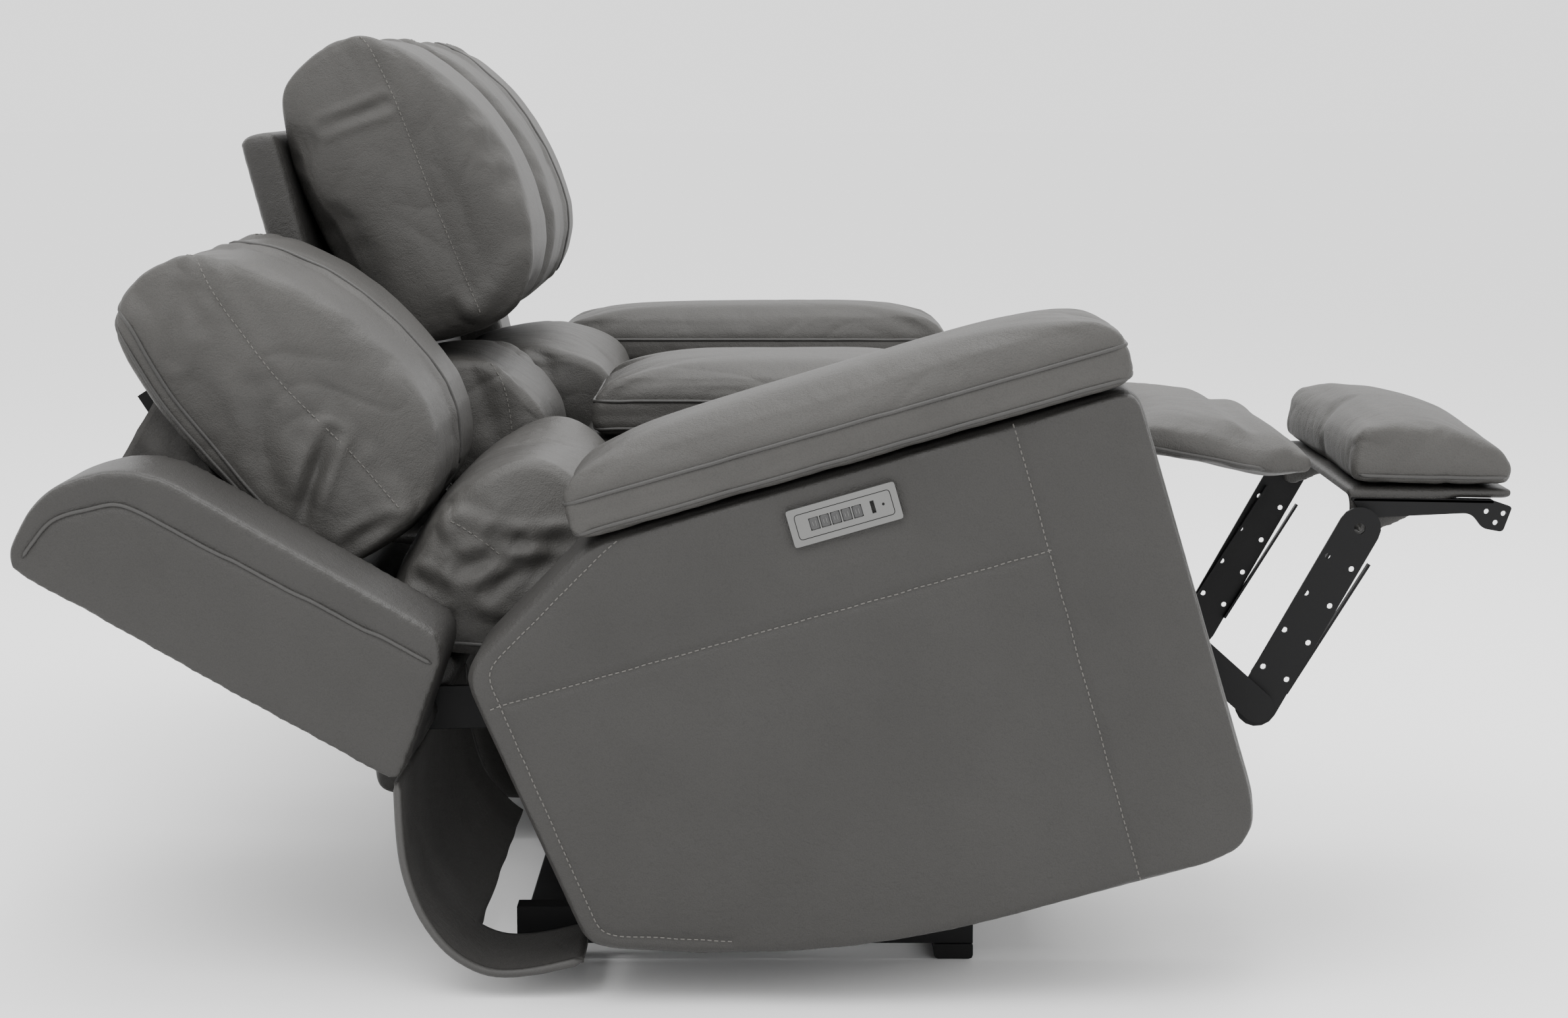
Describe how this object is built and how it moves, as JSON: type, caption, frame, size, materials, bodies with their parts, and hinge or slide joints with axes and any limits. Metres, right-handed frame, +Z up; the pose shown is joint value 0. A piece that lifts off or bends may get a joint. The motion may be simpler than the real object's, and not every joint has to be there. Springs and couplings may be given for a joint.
{
  "type": "power reclining console loveseat",
  "caption": "Upholstered power reclining loveseat with a centre console; one seat is laid back with its footrest out, the other is upright.",
  "frame": {"origin": "on the floor, at the centre of the footprint of the bounding box at rest", "axes": "+Z up; -Y is the way a sitter faces; +X is the sitter's left, so the reclined seat stands on -X"},
  "size_m": [1.94, 1.722, 1.0913],
  "materials": {
    "leather": "semi-aniline, soft satin grain",
    "flap_leather": "matte, thin lining leather",
    "black_steel": "satin black powder coat",
    "black_plastic": "moulded, fine texture",
    "satin_metal": "brushed satin",
    "button_plastic": "soft-touch",
    "board": "plywood board wrapped in leather"
  },
  "bodies": {
    "base": {"left_outer_rail": "black_steel", "left_inner_rail": "black_steel", "left_front_skid": "black_plastic", "left_rear_skid": "black_plastic", "right_outer_rail": "black_steel", "right_inner_rail": "black_steel", "right_front_skid": "black_plastic", "right_rear_skid": "black_plastic", "console_body": "leather", "console_back_panel": "leather", "console_head_cushion": "leather", "console_lumbar_cushion": "leather"},
    "left_carriage": {"left_travel_carriage": "black_steel"},
    "left_seat": {"left_seat_frame": "black_steel", "left_drive_motor": "black_plastic", "left_arm_panel": "leather", "left_arm_pad": "leather", "left_control_plate": "satin_metal", "left_seat_cushion": "leather", "left_rear_flap": "flap_leather"},
    "left_button_1_body": {"left_button_1": "button_plastic"},
    "left_button_2_body": {"left_button_2": "button_plastic"},
    "left_button_3_body": {"left_button_3": "button_plastic"},
    "left_button_4_body": {"left_button_4": "button_plastic"},
    "left_button_5_body": {"left_button_5": "button_plastic"},
    "left_calf": {"left_calf_pad": "leather"},
    "left_lift": {"left_lift_frame": "black_steel"},
    "left_knee": {"left_outer_footrest_link": "black_steel", "left_inner_footrest_link": "black_steel"},
    "left_ottoman": {"left_ottoman_board": "board", "left_ottoman_pad": "leather"},
    "left_back": {"left_back_frame": "leather", "left_lumbar_cushion": "leather"},
    "left_head": {"left_headrest_bracket": "black_steel", "left_head_cushion": "leather"},
    "right_carriage": {"right_travel_carriage": "black_steel"},
    "right_seat": {"right_seat_frame": "black_steel", "right_drive_motor": "black_plastic", "right_arm_panel": "leather", "right_arm_pad": "leather", "right_control_plate": "satin_metal", "right_seat_cushion": "leather", "right_rear_flap": "flap_leather"},
    "right_button_1_body": {"right_button_1": "button_plastic"},
    "right_button_2_body": {"right_button_2": "button_plastic"},
    "right_button_3_body": {"right_button_3": "button_plastic"},
    "right_button_4_body": {"right_button_4": "button_plastic"},
    "right_button_5_body": {"right_button_5": "button_plastic"},
    "right_calf": {"right_calf_pad": "leather"},
    "right_lift": {"right_lift_frame": "black_steel"},
    "right_knee": {"right_outer_footrest_link": "black_steel", "right_inner_footrest_link": "black_steel"},
    "right_ottoman": {"right_ottoman_board": "board", "right_ottoman_pad": "leather"},
    "right_back": {"right_back_frame": "leather", "right_lumbar_cushion": "leather"},
    "right_head": {"right_headrest_bracket": "black_steel", "right_head_cushion": "leather"},
    "console_lid_body": {"console_lid": "leather"}
  },
  "joints": [
    {"name": "left_travel", "type": "slide", "parent": "base", "child": "left_carriage", "axis": [0, -1, 0], "range_m": [-0.254, 0]},
    {"name": "left_seat_tilt", "type": "hinge", "parent": "left_carriage", "child": "left_seat", "pos_m": [-0.465, 0.04559, 0.15], "axis": [-1, 0, 0], "range_deg": [-16, 0]},
    {"name": "left_calf_turn", "type": "hinge", "parent": "left_seat", "child": "left_calf", "pos_m": [-0.465, -0.39615, 0.59396], "axis": [-1, 0, 0], "range_deg": [-63, 0]},
    {"name": "left_lift_turn", "type": "hinge", "parent": "left_seat", "child": "left_lift", "pos_m": [-0.465, -0.34488, 0.48979], "axis": [-1, 0, 0], "range_deg": [-96.4, 0]},
    {"name": "left_knee_turn", "type": "hinge", "parent": "left_lift", "child": "left_knee", "pos_m": [-0.465, -0.55746, 0.29943], "axis": [-1, 0, 0], "range_deg": [0, 53.8]},
    {"name": "left_ottoman_turn", "type": "hinge", "parent": "left_knee", "child": "left_ottoman", "pos_m": [-0.465, -0.67397, 0.5095], "axis": [-1, 0, 0], "range_deg": [-30.4, 0]},
    {"name": "left_back_recline", "type": "hinge", "parent": "left_seat", "child": "left_back", "pos_m": [-0.465, 0.19709, 0.29381], "axis": [-1, 0, 0], "range_deg": [-30, 0]},
    {"name": "left_headrest_tilt", "type": "hinge", "parent": "left_back", "child": "left_head", "pos_m": [-0.465, 0.5539, 0.49329], "axis": [1, 0, 0], "range_deg": [-28, 0]},
    {"name": "left_button_1_press", "type": "slide", "parent": "left_seat", "child": "left_button_1_body", "axis": [1, 0, 0], "range_m": [0, 0.0018], "stiffness_N_per_m": 220},
    {"name": "left_button_2_press", "type": "slide", "parent": "left_seat", "child": "left_button_2_body", "axis": [1, 0, 0], "range_m": [0, 0.0018], "stiffness_N_per_m": 220},
    {"name": "left_button_3_press", "type": "slide", "parent": "left_seat", "child": "left_button_3_body", "axis": [1, 0, 0], "range_m": [0, 0.0018], "stiffness_N_per_m": 220},
    {"name": "left_button_4_press", "type": "slide", "parent": "left_seat", "child": "left_button_4_body", "axis": [1, 0, 0], "range_m": [0, 0.0018], "stiffness_N_per_m": 220},
    {"name": "left_button_5_press", "type": "slide", "parent": "left_seat", "child": "left_button_5_body", "axis": [1, 0, 0], "range_m": [0, 0.0018], "stiffness_N_per_m": 220},
    {"name": "right_travel", "type": "slide", "parent": "base", "child": "right_carriage", "axis": [0, -1, 0], "range_m": [0, 0.254]},
    {"name": "right_seat_tilt", "type": "hinge", "parent": "right_carriage", "child": "right_seat", "pos_m": [0.465, 0.29959, 0.15], "axis": [-1, 0, 0], "range_deg": [0, 16]},
    {"name": "right_calf_turn", "type": "hinge", "parent": "right_seat", "child": "right_calf", "pos_m": [0.465, -0.24741, 0.455], "axis": [-1, 0, 0], "range_deg": [0, 63]},
    {"name": "right_lift_turn", "type": "hinge", "parent": "right_seat", "child": "right_lift", "pos_m": [0.465, -0.16941, 0.369], "axis": [-1, 0, 0], "range_deg": [0, 96.4]},
    {"name": "right_knee_turn", "type": "hinge", "parent": "right_lift", "child": "right_knee", "pos_m": [0.465, 0.08759, 0.245], "axis": [-1, 0, 0], "range_deg": [-53.8, 0]},
    {"name": "right_ottoman_turn", "type": "hinge", "parent": "right_knee", "child": "right_ottoman", "pos_m": [0.465, -0.15241, 0.255], "axis": [-1, 0, 0], "range_deg": [0, 30.4]},
    {"name": "right_back_recline", "type": "hinge", "parent": "right_seat", "child": "right_back", "pos_m": [0.465, 0.40559, 0.33], "axis": [-1, 0, 0], "range_deg": [0, 30]},
    {"name": "right_headrest_tilt", "type": "hinge", "parent": "right_back", "child": "right_head", "pos_m": [0.465, 0.50995, 0.72523], "axis": [1, 0, 0], "range_deg": [0, 28]},
    {"name": "right_button_1_press", "type": "slide", "parent": "right_seat", "child": "right_button_1_body", "axis": [-1, 0, 0], "range_m": [0, 0.0018], "stiffness_N_per_m": 220},
    {"name": "right_button_2_press", "type": "slide", "parent": "right_seat", "child": "right_button_2_body", "axis": [-1, 0, 0], "range_m": [0, 0.0018], "stiffness_N_per_m": 220},
    {"name": "right_button_3_press", "type": "slide", "parent": "right_seat", "child": "right_button_3_body", "axis": [-1, 0, 0], "range_m": [0, 0.0018], "stiffness_N_per_m": 220},
    {"name": "right_button_4_press", "type": "slide", "parent": "right_seat", "child": "right_button_4_body", "axis": [-1, 0, 0], "range_m": [0, 0.0018], "stiffness_N_per_m": 220},
    {"name": "right_button_5_press", "type": "slide", "parent": "right_seat", "child": "right_button_5_body", "axis": [-1, 0, 0], "range_m": [0, 0.0018], "stiffness_N_per_m": 220},
    {"name": "console_lid_hinge", "type": "hinge", "parent": "base", "child": "console_lid_body", "pos_m": [0, 0.24959, 0.556], "axis": [-1, 0, 0], "range_deg": [0, 58]}
  ],
  "couplings": [
    {"joint": "left_seat_tilt", "follows": "left_travel", "rad_per_m": 1.0994},
    {"joint": "left_calf_turn", "follows": "left_travel", "rad_per_m": 4.329},
    {"joint": "left_lift_turn", "follows": "left_travel", "rad_per_m": 6.624},
    {"joint": "left_knee_turn", "follows": "left_travel", "rad_per_m": -3.6968},
    {"joint": "left_ottoman_turn", "follows": "left_travel", "rad_per_m": 2.0889},
    {"joint": "right_seat_tilt", "follows": "right_travel", "rad_per_m": 1.0994},
    {"joint": "right_calf_turn", "follows": "right_travel", "rad_per_m": 4.329},
    {"joint": "right_lift_turn", "follows": "right_travel", "rad_per_m": 6.624},
    {"joint": "right_knee_turn", "follows": "right_travel", "rad_per_m": -3.6968},
    {"joint": "right_ottoman_turn", "follows": "right_travel", "rad_per_m": 2.0889}
  ]
}
